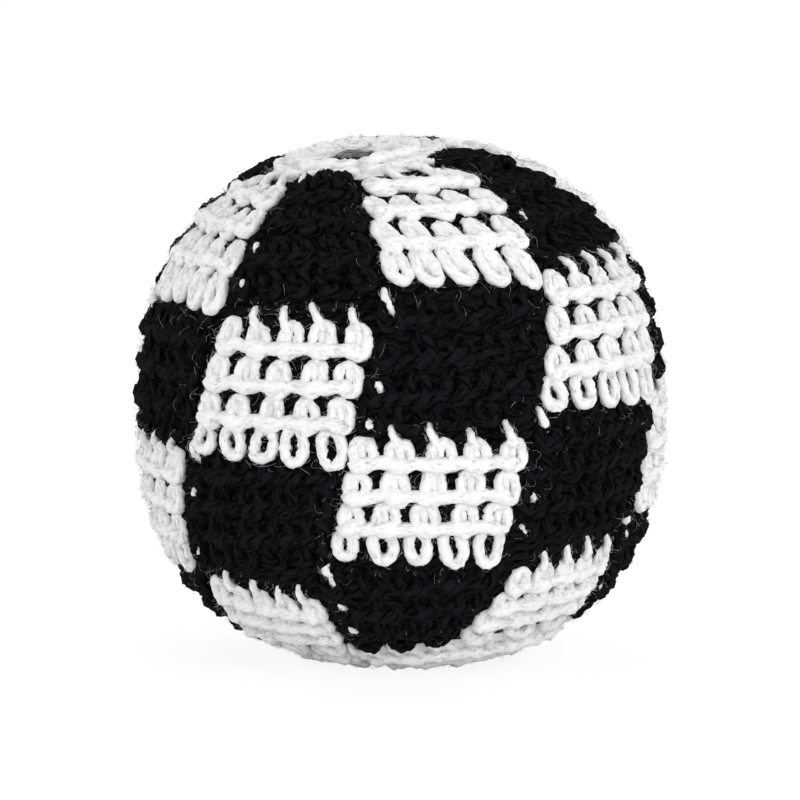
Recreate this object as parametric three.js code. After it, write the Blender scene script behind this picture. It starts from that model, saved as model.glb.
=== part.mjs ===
// A small crocheted kick ball: a tapestry-crochet cover in a leaning black and white check,
// filled with loose plastic pellets. Millimetres, Z up, standing on its flattened underside.
import * as THREE from "three";

// Outline of the ball as it sits on a table: fuller at the shoulders than a round one, and flat
// where it rests.
const BALL_WIDTH = 52;
const BALL_HEIGHT = 51;
const REST_WIDTH = 14;
const UPPER_FULLNESS = 2.3;
const LOWER_FULLNESS = 2.5;

// How the cover sits on the pellets: its poles lean to one side, and the eye that closes the crown is
// drawn further to that side and towards the front.
const COVER_LEAN = 6;
const EYE_LEAN = 5.5;
const EYE_NOD = 8.5;

// The crocheted cover: its thickness, and the groove between one round of stitches and the next.
const COVER_THICKNESS = 2.4;
const ROUND_GROOVE = 0.5;
const BLOCK_GAP = 0.3;

// The check: bands of blocks between two plain caps, by the angle of latitude that each takes up. In
// the two middle bands a column of stitches drifts round the ball on its way up, by an angle of
// longitude for each angle of latitude; the bands next to the caps run straight to the poles. The
// blocks at the front are drawn in closer than those at the back.
const BLOCKS_AROUND = 8;
const STITCHES_PER_BLOCK = 5;
const ROUNDS_PER_BAND = 4;
const TOP_CAP_ROUNDS = 3;
const BOTTOM_CAP_ROUNDS = 4;
const TOP_CAP_EDGE = 64;
const TOP_BAND_SPAN = 33.5;
const UPPER_BAND_SPAN = 30.5;
const LOWER_BAND_SPAN = 27;
const BOTTOM_BAND_SPAN = 27;
const STITCH_DRIFT = 0.36;
const CHECK_TURN = -12;
const FRONT_DRAW = 0.08;

// The drawn-up ring of yarn in the middle of each cap.
const EYE_WIDTH = 4.4;
const RING_YARN = 1.2;

// The pellets press the cover out and keep this much clear of it.
const FILL_GAP = 0.3;

// Corners are 32-bit numbers, so a depth that is read back from one is only this exact.
const ROUNDING = 0.001;

const whiteYarn = new THREE.MeshStandardMaterial({ color: 0xf1efec, roughness: 0.95, metalness: 0 });
const blackYarn = new THREE.MeshStandardMaterial({ color: 0x161618, roughness: 0.95, metalness: 0 });
const pelletPlastic = new THREE.MeshStandardMaterial({ color: 0xe6e1d6, roughness: 0.55, metalness: 0 });

const degrees = THREE.MathUtils.degToRad;
const topEdge = degrees(TOP_CAP_EDGE);
const driftEnd = topEdge - degrees(TOP_BAND_SPAN);
const driftStart = driftEnd - degrees(UPPER_BAND_SPAN + LOWER_BAND_SPAN);
const roundRadius = BALL_WIDTH / 2;

// The flattened underside takes a little off the lower half.
const restShare = Math.pow(1 - Math.pow(REST_WIDTH / BALL_WIDTH, LOWER_FULLNESS), 1 / LOWER_FULLNESS);
const halfHeight = BALL_HEIGHT / (1 + restShare);
const centreHeight = halfHeight * restShare;

// Distance from the middle of the settled ball to its surface, along a direction.
function settledRadius(direction) {
  const fullness = direction.z > 0 ? UPPER_FULLNESS : LOWER_FULLNESS;
  const across = Math.pow(Math.hypot(direction.x, direction.y) / roundRadius, fullness);
  const up = Math.pow(Math.abs(direction.z) / halfHeight, fullness);
  return Math.pow(across + up, -1 / fullness);
}

// Settles a piece that was made on a round ball: the cover leans over on the pellets, and each point
// keeps its depth under the surface. On the face that the ball rests on, the grooves are pressed flat.
function settle(geometry) {
  const corners = geometry.attributes.position;
  const corner = new THREE.Vector3();
  const forwards = new THREE.Vector3(1, 0, 0);
  const sideways = new THREE.Vector3(0, -1, 0);
  for (let i = 0; i < corners.count; i += 1) {
    corner.fromBufferAttribute(corners, i);
    const madeDepth = roundRadius - corner.length();
    corner.normalize();
    const latitude = Math.atan2(corner.z, Math.hypot(corner.x, corner.y));
    const drawn = Math.max(0, (latitude - topEdge) / (Math.PI / 2 - topEdge));
    corner.applyAxisAngle(forwards, degrees(EYE_NOD) * drawn);
    corner.applyAxisAngle(sideways, degrees(COVER_LEAN) + degrees(EYE_LEAN) * drawn);
    const radius = settledRadius(corner);
    const pressed = centreHeight + radius * corner.z <= 0 && madeDepth < ROUND_GROOVE + ROUNDING;
    const depth = pressed ? 0 : madeDepth;
    corner.multiplyScalar(radius - depth);
    corners.setXYZ(i, corner.x, corner.y, Math.max(corner.z + centreHeight, depth));
  }
  geometry.computeVertexNormals();
  return geometry;
}

// A point of the round ball's meridian, a given depth under the surface, as distance out and height.
function meridian(latitude, depth) {
  const reach = roundRadius - depth;
  return new THREE.Vector2(reach * Math.cos(latitude), reach * Math.sin(latitude));
}

// Rounds meet in a groove and swell between.
function grooveDepth(step) {
  return step % 2 === 0 ? ROUND_GROOVE : 0;
}

// One block of the check: a slab wrapped onto the ball, its sides following the drift of the stitches.
function blockGeometry(lowLatitude, highLatitude, column) {
  const steps = 2 * ROUNDS_PER_BAND;
  const slab = new THREE.BoxGeometry(1, 1, 1, STITCHES_PER_BLOCK, steps, 1);
  const corners = slab.attributes.position;
  const middle = (lowLatitude + highLatitude) / 2;
  const span = highLatitude - lowLatitude - BLOCK_GAP / roundRadius;
  const width = (2 * Math.PI) / BLOCKS_AROUND;
  for (let i = 0; i < corners.count; i += 1) {
    const along = corners.getX(i);
    const rise = corners.getY(i);
    const outside = corners.getZ(i) > 0;
    const step = Math.round((rise + 0.5) * steps);
    const latitude = middle + rise * span;
    const point = meridian(latitude, outside ? grooveDepth(step) : COVER_THICKNESS);
    const sideGap = BLOCK_GAP / (roundRadius * Math.cos(latitude));
    const drift = STITCH_DRIFT * THREE.MathUtils.clamp(latitude, driftStart, driftEnd);
    const start = degrees(CHECK_TURN) + drift;
    const even = start + (column + 0.5) * width + along * (width - sideGap);
    const longitude = even - FRONT_DRAW * Math.sin(even);
    corners.setXYZ(i, point.x * Math.sin(longitude), -point.x * Math.cos(longitude), point.y);
  }
  return settle(slab);
}

// A cap: rounds of stitches from the check to the eye at the pole, revolved.
function capGeometry(edgeLatitude, rounds) {
  const side = Math.sign(edgeLatitude);
  const steps = 2 * rounds;
  const edge = Math.abs(edgeLatitude) + BLOCK_GAP / 2 / roundRadius;
  const outerEye = Math.acos(EYE_WIDTH / 2 / roundRadius);
  const innerEye = Math.acos(EYE_WIDTH / 2 / (roundRadius - COVER_THICKNESS));
  const profile = [];
  for (let step = 0; step <= steps; step += 1) {
    const latitude = side * THREE.MathUtils.lerp(edge, outerEye, step / steps);
    profile.push(meridian(latitude, grooveDepth(step)));
  }
  for (let step = rounds; step >= 0; step -= 1) {
    const latitude = side * THREE.MathUtils.lerp(edge, innerEye, step / rounds);
    profile.push(meridian(latitude, COVER_THICKNESS));
  }
  profile.push(profile[0].clone());
  return settle(revolve(side > 0 ? profile : profile.reverse()));
}

// Revolves a profile round the upright axis, one facet to a stitch of the widest round.
function revolve(profile) {
  const facets = BLOCKS_AROUND * STITCHES_PER_BLOCK;
  return new THREE.LatheGeometry(profile, facets).rotateX(Math.PI / 2);
}

// The ring of yarn that the rounds start from, or that draws the last round shut.
function ringGeometry(side) {
  const radius = (EYE_WIDTH - RING_YARN) / 2 - BLOCK_GAP;
  const ring = new THREE.TorusGeometry(radius, RING_YARN / 2, 8, 20);
  return settle(ring.translate(0, 0, side * (roundRadius - COVER_THICKNESS / 2)));
}

// The mass of pellets, which takes the shape of the bag that it fills.
function fillGeometry() {
  const depth = COVER_THICKNESS + FILL_GAP;
  const steps = 4 * ROUNDS_PER_BAND;
  const profile = [];
  for (let step = 0; step <= steps; step += 1) {
    const latitude = THREE.MathUtils.lerp(-Math.PI / 2, Math.PI / 2, step / steps);
    const point = meridian(latitude, depth);
    profile.push(new THREE.Vector2(step % steps === 0 ? 0 : point.x, point.y));
  }
  return settle(revolve(profile));
}

const ball = new THREE.Group();
ball.name = "crocheted_ball";

function addPiece(name, geometry, material) {
  const piece = new THREE.Mesh(geometry, material);
  piece.name = name;
  ball.add(piece);
}

const bands = [
  { bandName: "top", span: TOP_BAND_SPAN },
  { bandName: "upper", span: UPPER_BAND_SPAN },
  { bandName: "lower", span: LOWER_BAND_SPAN },
  { bandName: "bottom", span: BOTTOM_BAND_SPAN },
];
let bandTop = topEdge;
bands.forEach(({ bandName, span }, band) => {
  const bandBottom = bandTop - degrees(span);
  for (let column = 0; column < BLOCKS_AROUND; column += 1) {
    const white = (band + column) % 2 === 0;
    const name = `${bandName}_band_${white ? "white" : "black"}_${Math.floor(column / 2) + 1}`;
    addPiece(name, blockGeometry(bandBottom, bandTop, column), white ? whiteYarn : blackYarn);
  }
  bandTop = bandBottom;
});

addPiece("top_cap", capGeometry(topEdge, TOP_CAP_ROUNDS), whiteYarn);
addPiece("bottom_cap", capGeometry(bandTop, BOTTOM_CAP_ROUNDS), whiteYarn);
addPiece("closing_ring", ringGeometry(1), whiteYarn);
addPiece("starting_ring", ringGeometry(-1), whiteYarn);
addPiece("pellet_fill", fillGeometry(), pelletPlastic);

export default ball;
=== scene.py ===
import math
import bpy
import numpy as np
from mathutils import Matrix, Vector


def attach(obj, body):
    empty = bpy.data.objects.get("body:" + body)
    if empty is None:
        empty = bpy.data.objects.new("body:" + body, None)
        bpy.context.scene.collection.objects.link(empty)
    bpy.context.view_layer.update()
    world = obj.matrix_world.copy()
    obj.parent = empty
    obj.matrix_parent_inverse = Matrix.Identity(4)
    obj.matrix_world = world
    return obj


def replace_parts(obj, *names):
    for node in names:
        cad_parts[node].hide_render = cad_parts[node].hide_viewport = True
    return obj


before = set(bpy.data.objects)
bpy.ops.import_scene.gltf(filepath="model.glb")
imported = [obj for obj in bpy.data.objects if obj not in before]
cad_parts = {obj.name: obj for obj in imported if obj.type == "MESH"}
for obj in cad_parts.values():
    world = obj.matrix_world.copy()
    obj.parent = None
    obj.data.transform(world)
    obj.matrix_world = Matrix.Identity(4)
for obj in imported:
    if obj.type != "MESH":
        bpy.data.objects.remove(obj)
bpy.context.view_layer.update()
bpy.ops.object.select_all(action="DESELECT")


# Starting ring: the loop of white yarn at the bottom pole that the first round is worked into. It is
# soft plied wool, about 1.2 mm thick and a little fuzzy, and it is drawn up until it lies just inside
# the first stitches.

# The lengths of the ball and its yarn are in millimetres, and angles are in radians.
MM = 0.001
TINY = 1e-9
BALL_WIDTH = 52.0
BALL_HEIGHT = 51.0
REST_WIDTH = 14.0
UPPER_FULLNESS = 2.3
LOWER_FULLNESS = 2.5
REST_SHARE = (1 - (REST_WIDTH / BALL_WIDTH) ** LOWER_FULLNESS) ** (1 / LOWER_FULLNESS)
HALF_HEIGHT = BALL_HEIGHT / (1 + REST_SHARE)
CENTRE_HEIGHT = HALF_HEIGHT * REST_SHARE
COVER_LEAN = math.radians(6.0)
EYE_LEAN = math.radians(5.5)
EYE_NOD = math.radians(8.5)
DRAW_EASE = 1.5
BAND_EDGES = np.radians([-54.0, -27.0, 0.0, 30.5, 70.0])
BOTTOM_CAP_EDGE, LOWER_BAND_FOOT, UPPER_BAND_FOOT, TOP_BAND_FOOT, TOP_CAP_EDGE = BAND_EDGES

chance = np.random.default_rng(seed=7)


def on_ball(latitude, longitude, depth):
    """Points at a depth under the surface of the ball, as its cover leans and it settles on the table."""
    x = np.cos(latitude) * np.sin(longitude)
    y = -np.cos(latitude) * np.cos(longitude)
    z = np.sin(latitude)
    drawn = np.maximum(0, (latitude - TOP_BAND_FOOT) / (math.pi / 2 - TOP_BAND_FOOT)) ** DRAW_EASE
    nod = EYE_NOD * drawn
    lean = COVER_LEAN + EYE_LEAN * drawn
    y, z = y * np.cos(nod) - z * np.sin(nod), y * np.sin(nod) + z * np.cos(nod)
    x, z = x * np.cos(lean) - z * np.sin(lean), x * np.sin(lean) + z * np.cos(lean)
    fullness = np.where(z > 0, UPPER_FULLNESS, LOWER_FULLNESS)
    across = (np.hypot(x, y) / (BALL_WIDTH / 2)) ** fullness
    upward = (np.abs(z) / HALF_HEIGHT) ** fullness
    reach = (across + upward) ** (-1 / fullness) - depth
    height = np.maximum(CENTRE_HEIGHT + reach * z, depth)
    return np.stack([reach * x, reach * y, height], axis=-1)


def unit(vectors):
    return vectors / np.maximum(np.linalg.norm(vectors, axis=-1, keepdims=True), TINY)


def crosswise(lines, closed):
    """Two directions across each line at every point, carried along the line without a twist."""
    if closed:
        ahead = unit(np.roll(lines, -1, axis=1) - np.roll(lines, 1, axis=1))
    else:
        ahead = unit(np.gradient(lines, axis=1))
    helper = np.zeros_like(ahead[:, 0])
    helper[np.arange(len(lines)), np.abs(ahead[:, 0]).argmin(axis=1)] = 1.0
    side = unit(np.cross(ahead[:, 0], helper))
    sideways = []
    for step in range(lines.shape[1]):
        side = unit(side - ahead[:, step] * (side * ahead[:, step]).sum(-1, keepdims=True))
        sideways.append(side)
    sideways = np.stack(sideways, axis=1)
    return sideways, np.cross(ahead, sideways)


# How a length of yarn narrows at its ends, and how the lengths are laid out side by side on a map.
END_TAPER = (0.06, 0.75)
LEAST_SHARE = 0.04
CELL_SHAPE = 2
STRIP_MARGIN = 0.06


class Skein:
    """Lengths of yarn that become one mesh: their corners, faces and two maps of the surface."""

    def __init__(self):
        self.corners = []
        self.faces = []
        self.ends = []
        self.along = []
        self.strips = []
        self.count = 0

    def add(self, lines, radius, sides=8, closed=False, tapered=True, lumps=0.0):
        """Sweeps a round section along each of several lines, an array of (lines, points, 3)."""
        lines = np.asarray(lines, float)
        total, steps = lines.shape[:2]
        sideways, other = crosswise(lines, closed)
        thick = np.ones((total, steps, sides)) * radius
        thick = thick * (1 + lumps * chance.normal(0, 1, (total, steps, 1)))
        thick = thick * (1 + lumps * chance.normal(0, 1, (total, steps, sides)))
        if tapered and not closed:
            for step, share in enumerate(END_TAPER):
                thick[:, [step, -1 - step]] *= share
        turn = np.arange(sides) * 2 * math.pi / sides
        ring = np.cos(turn)[:, None] * sideways[:, :, None] + np.sin(turn)[:, None] * other[:, :, None]
        corners = lines[:, :, None] + ring * thick[..., None]
        number = self.count + np.arange(total * steps * sides).reshape(total, steps, sides)
        self.count += total * steps * sides
        self.corners.append(corners.reshape(-1, 3))
        first = np.arange(steps if closed else steps - 1)
        low, high = number[:, first], number[:, (first + 1) % steps]
        left = np.arange(sides)
        right = (left + 1) % sides
        quads = np.stack([low[..., left], low[..., right], high[..., right], high[..., left]], axis=-1)
        self.faces.append(quads.reshape(-1, 4))
        if not closed:
            self.ends += number[:, 0, ::-1].tolist() + number[:, -1].tolist()
        self.add_maps(lines, sides, closed)

    def add_maps(self, lines, sides, closed):
        """Where the corners of the new faces lie round and along each line."""
        paced = np.concatenate([lines, lines[:, :1]], axis=1) if closed else lines
        pace = np.linalg.norm(np.diff(paced, axis=1), axis=-1)
        length = np.concatenate([np.zeros((len(lines), 1)), np.cumsum(pace, axis=1)], axis=1)
        low, high = length[:, :-1], length[:, 1:]
        shape = (*low.shape, sides, 4)
        left = np.arange(sides)
        around = np.broadcast_to(np.stack([left, left + 1, left + 1, left], axis=-1) / sides, shape)
        rise = np.broadcast_to(np.stack([low, low, high, high], axis=-1)[:, :, None], shape)
        share = rise / np.maximum(length[:, -1], TINY)[:, None, None, None]
        self.along.append(np.stack([around, rise], axis=-1).reshape(-1, 2))
        strip = np.stack([around, share], axis=-1).reshape(len(lines), -1, 2)
        self.strips.append((strip, length[:, -1].mean()))

    def mesh(self, name):
        """The mesh, with one map that runs along the yarn and one that lays all lengths side by side. What
        would be below the table is pressed up to it."""
        corners = np.concatenate(self.corners)
        corners[:, 2] = np.maximum(corners[:, 2], 0)
        faces = np.concatenate(self.faces).tolist() + self.ends
        data = bpy.data.meshes.new(name)
        data.from_pydata((corners * MM).tolist(), [], faces)
        data.update()
        at_ends = np.zeros((sum(len(end) for end in self.ends), 2))
        for map_name, places in (("yarn", np.concatenate(self.along)), ("OFBake", self.laid_out())):
            layer = data.uv_layers.new(name=map_name)
            layer.data.foreach_set("uv", np.concatenate([places, at_ends]).astype(np.float32).ravel())
        data.polygons.foreach_set("use_smooth", np.ones(len(faces), bool))
        return data

    def laid_out(self):
        """Every length as an upright strip of its own, in bands of lengths of one kind."""
        weights = np.array([len(strip) * length for strip, length in self.strips])
        bands = np.maximum(weights / weights.sum(), LEAST_SHARE)
        bands = bands / bands.sum()
        floor = 0.0
        placed = []
        for (strip, _), band in zip(self.strips, bands):
            columns = min(len(strip), math.ceil(math.sqrt(len(strip) / band / CELL_SHAPE)))
            cell = np.array([1 / columns, band / math.ceil(len(strip) / columns)])
            index = np.arange(len(strip))
            corner = np.stack([index % columns, index // columns], axis=-1) * cell + np.array([0, floor])
            inset = STRIP_MARGIN + (1 - 2 * STRIP_MARGIN) * strip
            placed.append((corner[:, None] + cell * inset).reshape(-1, 2))
            floor += band
        return np.concatenate(placed)


class Shade:
    """A value in a material, so that its sums are written as sums."""

    def __init__(self, tree, socket=None):
        self.tree = tree
        self.socket = socket

    def node(self, kind, settings=None, inputs=None, output=0):
        made = self.tree.nodes.new(kind)
        for name, value in (settings or {}).items():
            setattr(made, name, value)
        for name, value in (inputs or {}).items():
            if isinstance(value, Shade):
                self.tree.links.new(value.socket, made.inputs[name])
            else:
                made.inputs[name].default_value = value
        return Shade(self.tree, made.outputs[output] if made.outputs else None)

    def maths(self, operation, first, second=0.0):
        return self.node("ShaderNodeMath", {"operation": operation}, {0: first, 1: second})

    def blend(self, share, first, second):
        """A colour between two, through the sockets that the mix node has for colours."""
        colours = {6: (*first, 1), 7: (*second, 1)}
        settings = {"data_type": "RGBA", "clamp_factor": True}
        return self.node("ShaderNodeMix", settings, {0: share, **colours}, output=2)

    def __add__(self, other):
        return self.maths("ADD", self, other)

    def __sub__(self, other):
        return self.maths("SUBTRACT", self, other)

    def __rsub__(self, other):
        return self.maths("SUBTRACT", other, self)

    def __mul__(self, other):
        return self.maths("MULTIPLY", self, other)

    __radd__ = __add__
    __rmul__ = __mul__


def new_material(name):
    """An empty material, and a start for its values."""
    material = bpy.data.materials.new(name)
    material.use_nodes = True
    material.node_tree.nodes.clear()
    return material, Shade(material.node_tree)


# The plies of the yarn, and the groove between them, which is darkened with painted shade.
PLIES = 3.0
PLIES_PER_MM = 0.62
PLY_RELIEF = 0.4
GROOVE_PAINTED_SHADE = 0.30

# The fibres that run along the plies, painted shade in the gaps between them, and broader patches.
FIBRE_TURNS_PER_MM = 0.12
FIBRE_REACH = 0.55
FIBRE_SQUEEZE = 0.25
FIBRE_SCALE = 3.6
FIBRE_CHANGE = 200.0
FIBRE_GAP_EDGE = 0.56
FIBRE_GAP_GAIN = 4.0
FIBRE_GAP_SHADE = 0.45
PATCH_SCALE = 260.0
PATCH_DARK = 0.10

# The surface of the wool.
RELIEF_STRENGTH = 0.8
RELIEF_HEIGHT = 0.15
WOOL_ROUGHNESS = 0.95
SHEEN_ROUGHNESS = 0.6


def plied_yarn(name, wool, shadow, contrast, gloss, sheen):
    """Wool of three plies twisted together: a groove between plies, and fine fibres along each. The colour
    holds painted shade in the grooves and between the fibres.
    """
    material, shade = new_material(name)
    place = shade.node("ShaderNodeUVMap", {"uv_map": "yarn"})
    around = shade.node("ShaderNodeSeparateXYZ", inputs={0: place}, output="X")
    along = shade.node("ShaderNodeSeparateXYZ", inputs={0: place}, output="Y")
    ply = shade.maths("ABSOLUTE", shade.maths("SINE", (around * PLIES + along * PLIES_PER_MM) * math.pi))
    hollow = 1.0 - ply
    groove = hollow * hollow * hollow
    spot = shade.node("ShaderNodeTexCoord", output="Object")
    patch = shade.node("ShaderNodeTexNoise", inputs={"Vector": spot, "Scale": PATCH_SCALE, "Detail": 2.0})
    turn = (around + along * FIBRE_TURNS_PER_MM) * (2 * math.pi)
    lengthwise = shade.node(
        "ShaderNodeCombineXYZ",
        inputs={
            0: shade.maths("COSINE", turn) * FIBRE_REACH,
            1: shade.maths("SINE", turn) * FIBRE_REACH,
            2: along * FIBRE_SQUEEZE,
        },
    )
    each = shade.node("ShaderNodeSeparateXYZ", inputs={0: spot}, output="X") * FIBRE_CHANGE
    fibre = shade.node(
        "ShaderNodeTexNoise",
        {"noise_dimensions": "4D"},
        {"Vector": lengthwise, "W": each, "Scale": FIBRE_SCALE, "Detail": 3.0},
    )
    # Painted shade in the small gaps between the fibres.
    fibre_gap_shade = shade.maths("MAXIMUM", FIBRE_GAP_EDGE - fibre, 0.0) * FIBRE_GAP_GAIN
    # Painted shade in the plies' grooves and between the fibres, with random patches of tone, all scaled
    # by the contrast.
    shade_and_tone = (groove * GROOVE_PAINTED_SHADE + fibre_gap_shade * FIBRE_GAP_SHADE + patch * PATCH_DARK) * contrast
    relief = shade.node(
        "ShaderNodeBump",
        inputs={
            "Strength": RELIEF_STRENGTH,
            "Distance": RELIEF_HEIGHT * MM,
            "Height": ply * PLY_RELIEF + fibre,
        },
    )
    surface = shade.node(
        "ShaderNodeBsdfPrincipled",
        inputs={
            "Base Color": shade.blend(shade_and_tone, wool, shadow),
            "Normal": relief,
            "Roughness": WOOL_ROUGHNESS,
            "Specular IOR Level": gloss,
            "Sheen Weight": sheen,
            "Sheen Roughness": SHEEN_ROUGHNESS,
        },
    )
    shade.node("ShaderNodeOutputMaterial", inputs={"Surface": surface})
    return material


YARN = {}
YARN["white"] = plied_yarn(
    "white_yarn",
    wool=(0.95, 0.946, 0.942),
    shadow=(0.77, 0.77, 0.78),
    contrast=0.9,
    gloss=0.08,
    sheen=0.10,
)


def piece_of_yarn(name, skein, colour):
    """Makes a skein into a finished piece of the ball."""
    piece = bpy.data.objects.new(name, skein.mesh(name))
    bpy.context.scene.collection.objects.link(piece)
    piece.data.materials.append(YARN[colour])
    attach(piece, "root")
    return piece


RING_POINTS = 24
RING_WAVE = 0.15
RING_WAVES = 3
RING_WAVE_START = 1.0


def drawn_ring(pole, radius, depth):
    """The line of a ring of yarn that is drawn up round one pole, a little wavy."""
    turn = np.linspace(0, 2 * math.pi, RING_POINTS, endpoint=False)
    latitude = np.full(RING_POINTS, pole * math.atan2(HALF_HEIGHT, radius))
    wave = RING_WAVE * np.sin(RING_WAVES * turn + RING_WAVE_START)
    return on_ball(latitude, turn, depth + wave)[None]


RING_YARN = 0.60
RING_DEPTH = 1.2
STARTING_RADIUS = 1.15
starting = Skein()
starting.add(drawn_ring(-1, STARTING_RADIUS, RING_DEPTH), RING_YARN, closed=True)
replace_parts(piece_of_yarn("starting_ring_yarn", starting, "white"), "starting_ring")


# Bottom cap: plain rounds of single crochet in the white wool, worked out from the starting ring. Each
# stitch is a loop drawn up through the round below, and the tops of a round lie on the cover as a bar
# that the next round's loops stand on.
CAP_END = math.radians(84.5)
BOTTOM_CAP_STITCHES = (8, 12, 17, 22)

# Where the rounds lie on the ball, and how far their blocks drift, lean, spread and sag.
BOTTOM_BAND = 0
UPPER_BAND = 2
BLOCKS_AROUND = 8
CHECK_TURN = math.radians(-12.0)
STITCH_DRIFT = 0.36
TOP_TURN = math.radians(1.5)
FRONT_DRAW = 0.08
TOP_SPREAD = 0.20
BOTTOM_SPREAD = 0.16
WHITE_LEVEL = 1.0
BLACK_LEVEL = 0.3
LEVEL_EASE = 0.2
BOTTOM_SAG = math.radians(7.0)
UPPER_SAG = math.radians(3.0)
UPPER_SAG_AT = math.radians(-45.0)
UPPER_SAG_FROM = UPPER_BAND_FOOT - 0.16
UPPER_SAG_FULL = UPPER_BAND_FOOT + 0.06
BAND_LEAN = (-0.20, -0.20, -0.24, -0.30)
CAP_LEAN = -0.30

# How thick the strands are, and how finely they are drawn.
LOOP_RADIUS = {"white": 0.55, "black": 0.62}
HANGING_RADIUS = 0.58
FILLING_RADIUS = 0.52
SPIKE_RADIUS = 0.56
SPIKE_TIP = 0.5
LUMPS = {"white": 0.06, "black": 0.08}
STRAND_STEPS = 3
HIDDEN_SIDES = 6

# The forms of loops and arcs, in stitch widths, round heights and millimetres out from mid-cover.
MIDDLE_DEPTH = 1.30
LOOP_POINTS = 10
LOOP_PROUD = 0.30
LOOP_TILT = 0.25
HANG_FROM = 0.4
ARC_POINTS = 8
ARC_PEAK = 0.55

# The bar along the foot of a run of stitches, in the same measures.
BAR_RADIUS = {"white": 0.72, "black": 0.76}
BAR_PROUD = {"white": 0.58, "black": 0.44}
BAR_START = -0.34
BAR_END = 0.7
BAR_STEP = 0.25
BAR_HEIGHT = 0.03
BAR_WAVE = 0.025
BAR_WOBBLE = np.array([0.0, 0.030, 0.05])
BAR_SWELL = 0.12
BAR_STEPS = 2

# How much one stitch differs from the next.
HAND_SIZE = 0.05
HAND_SHIFT = np.array([0.030, 0.035, 0.05])
HAND_WOBBLE = np.array([0.012, 0.014, 0.03])
HAND_TILT = 0.07
TILT_FROM = 0.25

# The fluff on the yarn, and the loose fibres over the stitches.
FIBRE_RADIUS = 0.015
FIBRE_SIDES = 3
FLUFF_PER_MM = {"white": 12.0, "black": 5.0}
FLUFF_LENGTH = (0.25, 0.75)
FLUFF_STRAY = 0.3
FLUFF_ROOT = 0.92
FLUFF_LIFT = 0.45
FLUFF_BEND = 1.5
HAIRS_PER_STITCH = {"white": 14, "black": 1}
CAP_HAIRS = 3
HAIR_RADIUS = 0.009
HAIR_SPREAD = {"white": 0.55, "black": 0.25}
HAIR_ROOT = np.array([0.0, 0.3])
HAIR_CURL = 1.8
HAIR_LENGTH_SHAPE = 1.5
HAIR_LENGTH_SCALE = 0.18
HAIR_POINTS = 6
HAIR_PROUD = 0.75
HAIR_ARCH = 0.5


def smoothstep(value, low, high):
    share = np.clip((value - low) / (high - low), 0, 1)
    return share * share * (3 - 2 * share)


def smooth_line(points, steps, closed=False):
    """A smooth line through each row of points, with the same number of steps between each two."""
    if closed:
        before, after = np.roll(points, 1, axis=1), np.roll(points, -1, axis=1)
        start, end = points, after
    else:
        before = np.concatenate([2 * points[:, :1] - points[:, 1:2], points[:, :-1]], axis=1)
        after = np.concatenate([points[:, 1:], 2 * points[:, -1:] - points[:, -2:-1]], axis=1)
        start, end = points[:, :-1], points[:, 1:]
    slope = (after - before) / 2
    spans = start.shape[1]
    leaving, reaching = slope[:, :spans], np.roll(slope, -1, axis=1)[:, :spans]
    lines = []
    for t in np.arange(steps) / steps:
        line = start * (2 * t**3 - 3 * t**2 + 1) + leaving * (t**3 - 2 * t**2 + t)
        lines.append(line + end * (3 * t**2 - 2 * t**3) + reaching * (t**3 - t**2))
    mixed = np.stack(lines, axis=2).reshape(len(points), -1, 3)
    return mixed if closed else np.concatenate([mixed, points[:, -1:]], axis=1)


def is_white(band, column):
    """The check: the colours take turns along a band, and from one band to the next."""
    return (band + column) % 2 == 1


def loop_shape(half_width, low, high, squareness):
    """A loop of yarn: stitch widths across, round heights up, millimetres out from mid-cover."""
    turn = np.arange(LOOP_POINTS) * 2 * math.pi / LOOP_POINTS
    across = half_width * np.sign(np.sin(turn)) * np.abs(np.sin(turn)) ** squareness
    up = (high + low) / 2 + (high - low) / 2 * np.cos(turn)
    return np.stack([across, up, LOOP_PROUD - LOOP_TILT * np.cos(turn)], axis=-1)


def arc_shape(first, last, bend, sunk, proud):
    """A strand that comes out of the cover at one place and goes in at another."""
    t = np.linspace(0, 1, ARC_POINTS)
    across = first[0] + (last[0] - first[0]) * (1 - (1 - t) ** bend)
    up = first[1] + (last[1] - first[1]) * t
    return np.stack([across, up, proud - (proud - sunk) * (t / ARC_PEAK - 1) ** 2], axis=-1)


ARCH = loop_shape(half_width=0.245, low=-0.13, high=0.67, squareness=0.70)
HANGING = loop_shape(half_width=0.265, low=-0.05, high=0.88, squareness=0.85)
SPIKE = arc_shape(first=(0.02, 0.40), last=(-0.44, 1.28), bend=1.6, sunk=-0.70, proud=0.62)
FILLING = arc_shape(first=(0.00, -0.20), last=(-0.06, 0.80), bend=1.0, sunk=-0.60, proud=0.10)


def by_hand(shape, total, lean):
    """Copies of a strand, each a little different."""
    shape = np.repeat(shape[None], total, axis=0)
    size = 1 + chance.normal(0, HAND_SIZE, (total, 1, 3))
    shift = chance.normal(0, 1, (total, 1, 3)) * HAND_SHIFT
    wobble = chance.normal(0, 1, shape.shape) * HAND_WOBBLE
    shape = shape * size + shift + wobble
    tilt = chance.normal(lean, HAND_TILT, (total, 1))
    shape[..., 0] += tilt * (shape[..., 1] - TILT_FROM)
    return shape


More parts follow.
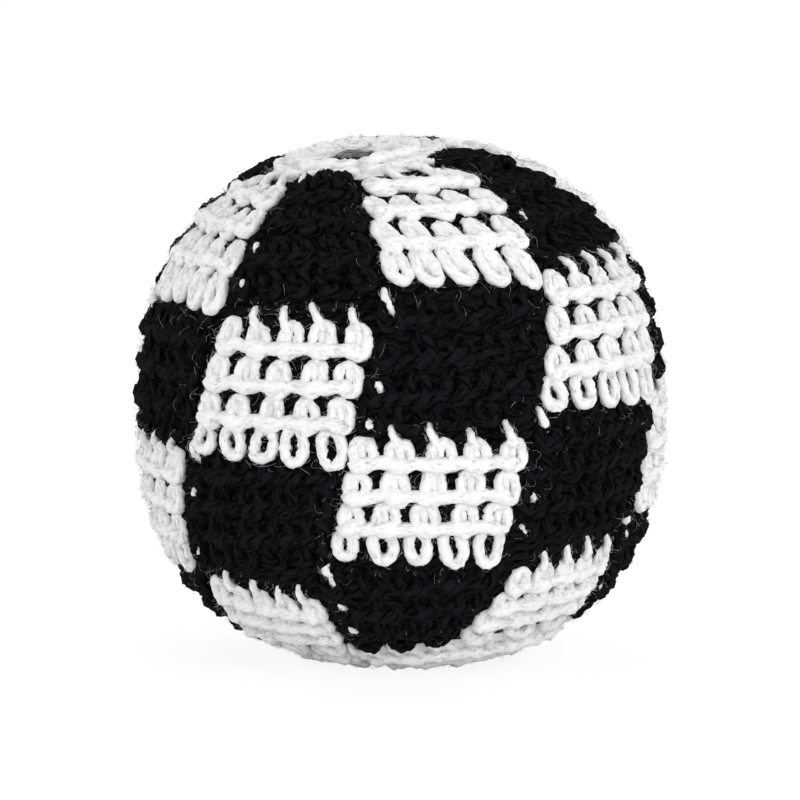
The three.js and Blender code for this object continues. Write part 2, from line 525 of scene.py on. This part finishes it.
class Round:
    """One round of stitches between two latitudes, in a band of the check or in a plain cap."""

    def __init__(self, low, high, stitches, band=None):
        self.low = low
        self.high = high
        self.stitches = stitches
        self.band = band
        self.lean = CAP_LEAN if band is None else BAND_LEAN[band]

    def block_numbers(self, column):
        """The numbers of the stitches that one block has in this round."""
        each = self.stitches // BLOCKS_AROUND
        return np.arange(column * each, (column + 1) * each)

    def place(self, shape, numbers):
        """Where the points of a stitch's own measures lie, for the stitches with these numbers."""
        number = np.asarray(numbers)[:, None] + 0.5
        latitude = self.low + shape[..., 1] * (self.high - self.low)
        crown = smoothstep(latitude, TOP_BAND_FOOT, TOP_CAP_EDGE)
        drift = STITCH_DRIFT * np.clip(latitude, BOTTOM_CAP_EDGE, TOP_BAND_FOOT)
        start = CHECK_TURN + drift + TOP_TURN * crown
        longitude = start + (number + shape[..., 0]) * 2 * math.pi / self.stitches
        if self.band is not None:
            column = number * BLOCKS_AROUND // self.stitches
            white = is_white(self.band, column)
            middle = start + (column + 0.5) * 2 * math.pi / BLOCKS_AROUND
            longitude = longitude + (longitude - middle) * self.spreading(white, latitude)
            latitude = latitude - self.levelling(white, latitude, longitude, middle)
        longitude = longitude - FRONT_DRAW * (1 - crown) * np.sin(longitude)
        return on_ball(latitude, longitude, MIDDLE_DEPTH - shape[..., 2])

    def spreading(self, white, latitude):
        """By what share a block is wider than its neighbours: next to the caps the white ones are, and at
        the top of the bottom band the black ones."""
        spread = TOP_SPREAD * smoothstep(latitude, TOP_BAND_FOOT, TOP_CAP_EDGE)
        if self.band == BOTTOM_BAND:
            spread = BOTTOM_SPREAD * (1 - 2 * smoothstep(latitude, BOTTOM_CAP_EDGE, LOWER_BAND_FOOT))
        return np.where(white, spread, -spread)

    def levelling(self, white, latitude, longitude, middle):
        """How far a round departs from the lean of the cover. Across one block, and most of all a white
        one, it lies level, and at the front the white blocks of two bands sag."""
        level = np.where(white, WHITE_LEVEL, BLACK_LEVEL)
        lean = level * COVER_LEAN * (np.sin(longitude) - np.sin(middle))
        held = smoothstep(latitude, BOTTOM_CAP_EDGE, LOWER_BAND_FOOT)
        held = held * (1 - smoothstep(latitude, TOP_CAP_EDGE - LEVEL_EASE, TOP_CAP_EDGE))
        return held * (lean + np.where(white, self.sag(latitude, longitude), 0))

    def sag(self, latitude, longitude):
        """The sag of white blocks at the front of the bottom band, and at the front left of the upper."""
        if self.band == BOTTOM_BAND:
            return BOTTOM_SAG * np.maximum(np.cos(longitude), 0)
        if self.band == UPPER_BAND:
            near = np.maximum(np.cos(longitude - UPPER_SAG_AT), 0) ** 2
            return UPPER_SAG * near * smoothstep(latitude, UPPER_SAG_FROM, UPPER_SAG_FULL)
        return 0.0

    def strands(self, skein, shape, numbers, radius, colour, closed=False, tip=1.0):
        """Adds strands of one shape to a skein, with their fluff."""
        lines = smooth_line(self.place(shape, numbers), STRAND_STEPS, closed)
        thickness = radius * np.linspace(1, tip, lines.shape[1])[:, None]
        skein.add(lines, thickness, closed=closed, lumps=LUMPS[colour])
        add_fluff(skein, lines, radius, FLUFF_PER_MM[colour])

    def loops(self, skein, numbers, colour, hang=None):
        """The loops of a run of stitches. Those that start a block or the top cap hang into the round
        below."""
        if hang is None:
            shape = by_hand(ARCH, len(numbers), self.lean)
            radius = LOOP_RADIUS[colour]
        else:
            shape = by_hand(HANGING, len(numbers), self.lean)
            shape[..., 1] += (hang - 1) * np.minimum(shape[..., 1] - HANG_FROM, 0)
            radius = HANGING_RADIUS
        self.strands(skein, shape, numbers, radius, colour, closed=True)
        hairs = CAP_HAIRS if self.band is None else HAIRS_PER_STITCH[colour]
        add_hairs(skein, self, np.repeat(numbers, hairs), HAIR_SPREAD[colour])

    def filling(self, skein, numbers, lift=0.0):
        """The part of each stitch that shows, deeper in, through its loop."""
        shape = by_hand(FILLING, len(numbers), self.lean)
        shape[..., 1] += lift
        lines = smooth_line(self.place(shape, numbers), STRAND_STEPS)
        skein.add(lines, FILLING_RADIUS, HIDDEN_SIDES)

    def bar(self, skein, numbers, colour):
        """The tops of the round below, which lie along the foot of a run of stitches."""
        across = np.arange(BAR_START, len(numbers) - BAR_END, BAR_STEP)
        up = BAR_HEIGHT - BAR_WAVE * np.cos(2 * math.pi * across)
        bar = np.stack([across, up, np.full_like(across, BAR_PROUD[colour])], axis=-1)
        bar = bar + chance.normal(0, 1, bar.shape) * BAR_WOBBLE
        line = smooth_line(self.place(bar[None], numbers[:1]), BAR_STEPS)
        stitch = np.linspace(across[0], across[-1], line.shape[1])
        swell = 1 + BAR_SWELL * np.cos(2 * math.pi * stitch)
        skein.add(line, BAR_RADIUS[colour] * swell[:, None], lumps=LUMPS[colour])
        add_fluff(skein, line, BAR_RADIUS[colour], FLUFF_PER_MM[colour])

    def spikes(self, skein, numbers):
        """White strands that stand up from a run of stitches into the band above."""
        shape = by_hand(SPIKE, len(numbers), lean=0.0)
        self.strands(skein, shape, numbers, SPIKE_RADIUS, "white", tip=SPIKE_TIP)


def add_fluff(skein, lines, radius, per_mm):
    """Short fibres that stand off lengths of yarn and soften their edges."""
    length = np.linalg.norm(np.diff(lines, axis=1), axis=-1).sum(axis=1).mean()
    which = np.repeat(np.arange(len(lines)), math.ceil(length * per_mm))
    step = chance.integers(1, lines.shape[1] - 1, len(which))
    root = lines[which, step]
    ahead = unit(lines[which, step + 1] - lines[which, step - 1])
    away = unit(np.cross(ahead, chance.normal(0, 1, root.shape)))
    way = chance.choice([-1, 1], (len(which), 1))
    heading = unit(ahead * way + FLUFF_STRAY * chance.normal(0, 1, root.shape))
    reach = chance.uniform(*FLUFF_LENGTH, (len(which), 1))
    points = []
    for t in (0.0, 0.5, 1.0):
        lift = FLUFF_ROOT * radius + FLUFF_LIFT * reach * t * (FLUFF_BEND - t)
        points.append(root + away * lift + heading * reach * t)
    skein.add(np.stack(points, axis=1), FIBRE_RADIUS, FIBRE_SIDES, tapered=False)


def add_hairs(skein, work, numbers, spread):
    """Loose fibres, most of them short, that curl over the stitches round their own."""
    total = len(numbers)
    tip = chance.normal(0, spread, (total, 2)) + HAIR_ROOT
    heading = chance.uniform(0, 2 * math.pi, total)
    curl = chance.normal(0, HAIR_CURL, total)
    pace = chance.gamma(HAIR_LENGTH_SHAPE, HAIR_LENGTH_SCALE, total) / HAIR_POINTS
    hairs = []
    for t in np.linspace(0, 1, HAIR_POINTS):
        turn = heading + curl * t
        tip = tip + np.stack([np.cos(turn), np.sin(turn)], axis=-1) * pace[:, None]
        out = HAIR_PROUD + HAIR_ARCH * math.sin(math.pi * t)
        hairs.append(np.column_stack([tip, np.full(total, out)]))
    skein.add(work.place(np.stack(hairs, axis=1), numbers), HAIR_RADIUS, FIBRE_SIDES, tapered=False)


def finish_cover(name, skein, colour, node):
    """Makes a part of the cover into its piece, and hides the part of the model that it stands for."""
    piece = piece_of_yarn(name, skein, colour)
    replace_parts(piece, node)


def rounds_between(edges, stitches, band=None):
    """The rounds of a band or a cap, equal in height."""
    steps = np.linspace(edges[0], edges[1], len(stitches) + 1)
    return [Round(steps[k], steps[k + 1], stitches[k], band) for k in range(len(stitches))]


bottom_cap_rounds = rounds_between((-CAP_END, BOTTOM_CAP_EDGE), BOTTOM_CAP_STITCHES)
bottom_cap = Skein()
for work in bottom_cap_rounds:
    every = np.arange(work.stitches)
    work.loops(bottom_cap, every, "white")
    work.filling(bottom_cap, every)
    work.bar(bottom_cap, every, "white")
work.spikes(bottom_cap, every)
finish_cover("bottom_cap_stitches", bottom_cap, "white", "bottom_cap")


# The check: four bands of eight blocks in white and black wool in turn, each band shifted by one block.
# A block's first loops hang into the band below. White blocks send spikes into the band above and show as
# dots in the block beside them, and the last black stitches stand up into the top cap.
# The black wool's high contrast paints shade between the fibres, and lighter streaks of painted highlight
# where the fibres would catch the light.
YARN["black"] = plied_yarn(
    "black_yarn",
    wool=(0.0114, 0.0109, 0.0136),
    shadow=(0.0003, 0.0003, 0.0004),
    contrast=2.3,
    gloss=0.02,
    sheen=0.006,
)
BAND_NAMES = ("bottom", "lower", "upper", "top")
TOP_BAND = 3
BAND_STITCHES = ((24, 32, 32, 40), (40, 40, 40, 40), (40, 40, 40, 40), (40, 40, 40, 24))
WHITE_HANG = ((0.70, 1.25), (0.70, 1.25), (0.70, 1.25), (0.75, 0.95))
BLACK_HANG = (0.45, 0.45)
TOP_FILLING_LIFT = 0.25
TOP_ARCH = ARCH + np.array([0.0, 0.42, 0.25])
DOT = arc_shape(first=(0.06, 0.14), last=(-0.08, 0.56), bend=1.0, sunk=-0.60, proud=0.46)
DOT_RADIUS = 0.36
DOT_CHANCE = 0.6


def block_round(block, work, numbers, colour, hang):
    """One round of a block. The first has loops that hang by a share of their length, and no bar."""
    if hang is None:
        work.loops(block, numbers, colour)
        work.bar(block, numbers, colour)
    else:
        work.loops(block, numbers, colour, np.linspace(*hang, len(numbers))[:, None])


def white_block(rounds, column):
    """The white stitches of one block, with its dots and spikes."""
    block = Skein()
    for step, work in enumerate(rounds):
        numbers = work.block_numbers(column)
        block_round(block, work, numbers, "white", WHITE_HANG[work.band] if step == 0 else None)
        if step > 0:
            work.filling(block, numbers)
        elif work.band == TOP_BAND:
            work.filling(block, numbers, TOP_FILLING_LIFT)
        if chance.random() < DOT_CHANCE:
            work.strands(block, by_hand(DOT, 1, work.lean), numbers[-1:] + 1, DOT_RADIUS, "white")
    work.spikes(block, numbers + 1)
    return block


def black_block(rounds, column):
    """The black stitches of one block, and next to the top cap those that stand up into it."""
    block = Skein()
    for step, work in enumerate(rounds):
        numbers = work.block_numbers(column)
        block_round(block, work, numbers, "black", BLACK_HANG if step == 0 else None)
    if work.band == TOP_BAND:
        arches = by_hand(TOP_ARCH, len(numbers), work.lean)
        work.strands(block, arches, numbers, LOOP_RADIUS["black"], "black", closed=True)
    return block


band_rounds = []
for band, band_name in enumerate(BAND_NAMES):
    rounds = rounds_between(BAND_EDGES[band : band + 2], BAND_STITCHES[band], band)
    band_rounds += rounds
    for column in range(BLOCKS_AROUND):
        white = is_white(band, column)
        colour = "white" if white else "black"
        block = white_block(rounds, column) if white else black_block(rounds, column)
        node = f"{band_name}_band_{colour}_{column // 2 + 1}"
        finish_cover(f"{node}_stitches", block, colour, node)


# Top cap: plain white rounds again, fewer stitches to each, drawn in towards the eye at the crown. Its
# first loops hold the tops of the last black and white blocks.
TOP_CAP_STITCHES = (16, 9)
CAP_HANG = 0.25
top_cap_rounds = rounds_between((TOP_CAP_EDGE, CAP_END), TOP_CAP_STITCHES)
top_cap = Skein()
for step, work in enumerate(top_cap_rounds):
    every = np.arange(work.stitches)
    if step == 0:
        work.loops(top_cap, every, "white", CAP_HANG)
    else:
        work.loops(top_cap, every, "white")
        work.bar(top_cap, every, "white")
    work.filling(top_cap, every)
finish_cover("top_cap_stitches", top_cap, "white", "top_cap")


# Closing ring: the end of the white wool, run through the last round's loops and drawn up. It is left
# open by a few millimetres, and loose fibres lie across the small dark eye that shows at the crown.
CLOSING_RADIUS = 1.9
CLOSING_DEPTH = 2.4
EYE_RADIUS = 2.4
EYE_FIBRES = 40
EYE_FIBRE_POINTS = 8
EYE_FIBRE_DEPTH = 0.9
EYE_FIBRE_SLACK = 0.4
EYE_FIBRE_STRAY = 0.6


def eye_fibres():
    """Lines from one place on the eye's edge to another that is more or less opposite."""
    side = chance.uniform(0, 2 * math.pi, EYE_FIBRES)
    facing = side + math.pi + chance.normal(0, EYE_FIBRE_STRAY, EYE_FIBRES)
    near = EYE_RADIUS * np.stack([np.sin(side), np.cos(side)], axis=-1)
    far = EYE_RADIUS * np.stack([np.sin(facing), np.cos(facing)], axis=-1)
    across = near[:, None] + (far - near)[:, None] * np.linspace(0, 1, EYE_FIBRE_POINTS)[:, None]
    latitude = np.arctan2(HALF_HEIGHT, np.hypot(across[..., 0], across[..., 1]))
    longitude = np.arctan2(across[..., 0], across[..., 1])
    slack = chance.uniform(-EYE_FIBRE_SLACK, EYE_FIBRE_SLACK, (EYE_FIBRES, 1))
    return on_ball(latitude, longitude, EYE_FIBRE_DEPTH + slack)


closing = Skein()
closing.add(drawn_ring(1, CLOSING_RADIUS, CLOSING_DEPTH), RING_YARN, closed=True)
closing.add(eye_fibres(), FIBRE_RADIUS, FIBRE_SIDES, tapered=False)
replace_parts(piece_of_yarn("closing_ring_yarn", closing, "white"), "closing_ring")


# Yarn inside the rounds: the black wool runs on in the middle of the cover, through every stitch of the
# check, and shows as the dark of the gaps. Laid in three close turns to a round it is also painted shade,
# a dark sheet that fills every gap where the inside of the cover would lie in shade. The white wool runs
# through the caps in the same way, and the tail of the black wool lies round the eye, deep in it, as
# painted shade in the eye's hollow.
CORE_RADIUS = 0.62
CORE_DEPTH = 0.28
CORE_HEIGHTS = (0.17, 0.50, 0.83)
CORE_WAVE = 0.04
CORE_POINTS = 4
# The black tail's ring lies deep round the eye as painted shade in its hollow.
TAIL_SHADE_RADIUS = 1.9
TAIL_SHADE_DEPTH = 1.55


def run_through(skein, work):
    """Three turns of yarn inside one round, close enough to leave no gap."""
    across = np.arange(CORE_POINTS * work.stitches) / CORE_POINTS
    for height in CORE_HEIGHTS:
        up = height + CORE_WAVE * np.cos(2 * math.pi * across)
        shape = np.stack([across, up, np.full_like(across, -CORE_DEPTH)], axis=-1)
        skein.add(work.place(shape[None], [0]), CORE_RADIUS, HIDDEN_SIDES, closed=True)


# The black turns through the check are the carried wool and a sheet of painted shade in its gaps; the
# black ring is painted shade in the eye.
black_core_shade = Skein()
for work in band_rounds:
    run_through(black_core_shade, Round(work.low, work.high, work.stitches))
black_core_shade.add(drawn_ring(1, TAIL_SHADE_RADIUS, TAIL_SHADE_DEPTH), RING_YARN, closed=True)
piece_of_yarn("inner_black_yarn_and_shade", black_core_shade, "black")
backing = Skein()
for work in bottom_cap_rounds + top_cap_rounds:
    run_through(backing, work)
piece_of_yarn("inner_white_yarn", backing, "white")


# Pellets: plastic granules, poured in loose before the crown is drawn shut. They are wider than the
# gaps between the stitches, so they need no bag of their own.
PELLET_WIDTH = 3.7
PELLET_FLATNESS = 0.82
PELLET_SIZES = (0.86, 0.94)
PELLET_STRAY = 0.10
PELLET_ROOM = 2.9
PELLET_CLEAR = 0.5
PELLET_COLOUR = (0.84, 0.82, 0.77)
PELLET_SHADOW = (0.74, 0.71, 0.64)
PELLET_CLOUDS = 220.0
PELLET_ROUGHNESS = 0.35
PELLET_DULLNESS = 0.3


def inside_cover(spot):
    """Whether a pellet in this place lies clear of the cover."""
    up = spot[2] - CENTRE_HEIGHT
    far = math.hypot(spot[0], spot[1], up)
    depth = PELLET_ROOM + PELLET_WIDTH / 2
    wall = on_ball(np.array(math.asin(up / max(far, TINY))), np.array(0.0), np.array(depth))
    return far < math.dist(wall, (0, 0, CENTRE_HEIGHT)) - PELLET_CLEAR and spot[2] > depth


def packed_spots():
    """The places in close-packed layers where a pellet fits inside the cover."""
    reach = int(BALL_WIDTH / PELLET_WIDTH)
    steps = range(-reach, reach + 1)
    for layer in steps:
        for row in steps:
            for column in steps:
                x = column + 0.5 * (row % 2) + 0.5 * (layer % 2)
                y = (row + (layer % 2) / 3) * math.sqrt(3) / 2
                z = layer * math.sqrt(2 / 3)
                spot = np.array([x, y, z]) * PELLET_WIDTH + np.array([0, 0, CENTRE_HEIGHT])
                if inside_cover(spot):
                    yield spot


def milky_plastic():
    """Unpolished plastic, a little cloudy in its colour and its gloss."""
    material, shade = new_material("pellet_plastic")
    spot = shade.node("ShaderNodeTexCoord", output="Object")
    clouds = {"Vector": spot, "Scale": PELLET_CLOUDS, "Detail": 3.0}
    cloud = shade.node("ShaderNodeTexNoise", inputs=clouds)
    colour = shade.blend(cloud, PELLET_COLOUR, PELLET_SHADOW)
    rough = cloud * PELLET_DULLNESS + PELLET_ROUGHNESS
    surface = shade.node("ShaderNodeBsdfPrincipled", inputs={"Base Color": colour, "Roughness": rough})
    shade.node("ShaderNodeOutputMaterial", inputs={"Surface": surface})
    return material


bpy.ops.mesh.primitive_ico_sphere_add(subdivisions=2, radius=PELLET_WIDTH / 2)
granule = bpy.context.object
granule_corners = np.array([v.co for v in granule.data.vertices]) * np.array([1.0, 1.0, PELLET_FLATNESS])
granule_faces = np.array([f.vertices for f in granule.data.polygons])
bpy.data.objects.remove(granule)
pellet_corners = []
for spot in packed_spots():
    axis = Vector(chance.normal(0, 1, 3))
    turned = np.array(Matrix.Rotation(chance.uniform(0, math.pi), 3, axis))
    size = chance.uniform(*PELLET_SIZES)
    spot = spot + chance.normal(0, PELLET_STRAY, 3)
    pellet_corners.append(granule_corners * size @ turned.T + spot)
starts = len(granule_corners) * np.arange(len(pellet_corners))
pellet_faces = (granule_faces[None] + starts[:, None, None]).reshape(-1, 3)
pellet_mesh = bpy.data.meshes.new("pellets")
pellet_mesh.from_pydata((np.concatenate(pellet_corners) * MM).tolist(), [], pellet_faces.tolist())
pellet_mesh.polygons.foreach_set("use_smooth", np.ones(len(pellet_faces), bool))
pellets = bpy.data.objects.new("pellets", pellet_mesh)
bpy.context.scene.collection.objects.link(pellets)
pellet_mesh.materials.append(milky_plastic())
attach(pellets, "root")
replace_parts(pellets, "pellet_fill")


# Floor, light and camera: a plain white table under soft light from all round, seen from a little above,
# as in the photograph. The table is bright to the camera but keeps the ball's shadow. Lengths are in
# metres here.
TABLE_SIZE = 4.0
TABLE_COLOUR = (0.96, 0.96, 0.96)
TABLE_GLOW = 1.08
TABLE_GLOW_SHARE = 0.82
WORLD_LEVEL = 0.86


def table_white():
    """Matt white that the camera and reflections see mostly as a glow, so only a soft shadow is left."""
    material, shade = new_material("table_white")
    seen = shade.node("ShaderNodeLightPath", output="Is Camera Ray")
    seen = seen + shade.node("ShaderNodeLightPath", output="Is Glossy Ray")
    seen = seen + shade.node("ShaderNodeLightPath", output="Is Transmission Ray")
    matt = shade.node("ShaderNodeBsdfDiffuse", inputs={"Color": (*TABLE_COLOUR, 1)})
    bright = shade.node("ShaderNodeEmission", inputs={"Color": (1, 1, 1, 1), "Strength": TABLE_GLOW})
    mixed = shade.node("ShaderNodeMixShader", inputs={0: seen * TABLE_GLOW_SHARE, 1: matt, 2: bright})
    shade.node("ShaderNodeOutputMaterial", inputs={"Surface": mixed})
    return material


bpy.ops.mesh.primitive_plane_add(size=TABLE_SIZE)
table = bpy.context.object
table.name = "table"
table.data.materials.append(table_white())

world = bpy.data.worlds.new("soft_room")
bpy.context.scene.world = world
world.use_nodes = True
background = world.node_tree.nodes["Background"]
background.inputs["Color"].default_value = (1, 1, 1, 1)
background.inputs["Strength"].default_value = WORLD_LEVEL

ball_centre = Vector((0, 0, CENTRE_HEIGHT * MM))


def soft_lamp(name, place, size, power):
    """A round lamp that faces the ball."""
    bpy.ops.object.light_add(type="AREA", location=place)
    lamp = bpy.context.object
    lamp.name = name
    lamp.data.shape = "DISK"
    lamp.data.size = size
    lamp.data.energy = power
    aim = ball_centre - Vector(place)
    lamp.rotation_euler = aim.to_track_quat("-Z", "Y").to_euler()


soft_lamp("key_lamp", place=(-0.45, -0.60, 0.06), size=0.4, power=1.0)
soft_lamp("fill_lamp", place=(0.45, -0.55, 0.04), size=0.4, power=2.0)

VIEW_ELEVATION = math.radians(8.2)
VIEW_DISTANCE = 0.6
NEAREST_SEEN = 0.01
SENSOR_WIDTH = 36.0
PHOTO_PIXELS = 800
BALL_PIXELS = 267.0
BALL_AT = (400.6, 399.5)
metres_per_pixel = BALL_WIDTH / 2 * MM / BALL_PIXELS
camera_data = bpy.data.cameras.new("camera")
camera = bpy.data.objects.new("camera", camera_data)
bpy.context.scene.collection.objects.link(camera)
camera_data.sensor_width = SENSOR_WIDTH
camera_data.lens = SENSOR_WIDTH * VIEW_DISTANCE / (PHOTO_PIXELS * metres_per_pixel)
camera_data.clip_start = NEAREST_SEEN
tilt = Matrix.Rotation(math.pi / 2 - VIEW_ELEVATION, 4, "X")
right, upward, back = (tilt.to_3x3().col[i] for i in range(3))
aimed = ball_centre - right * (BALL_AT[0] - PHOTO_PIXELS / 2) * metres_per_pixel
aimed = aimed + upward * (BALL_AT[1] - PHOTO_PIXELS / 2) * metres_per_pixel
camera.matrix_world = Matrix.Translation(aimed + back * VIEW_DISTANCE) @ tilt
bpy.context.scene.camera = camera
bpy.context.scene.view_settings.view_transform = "Standard"
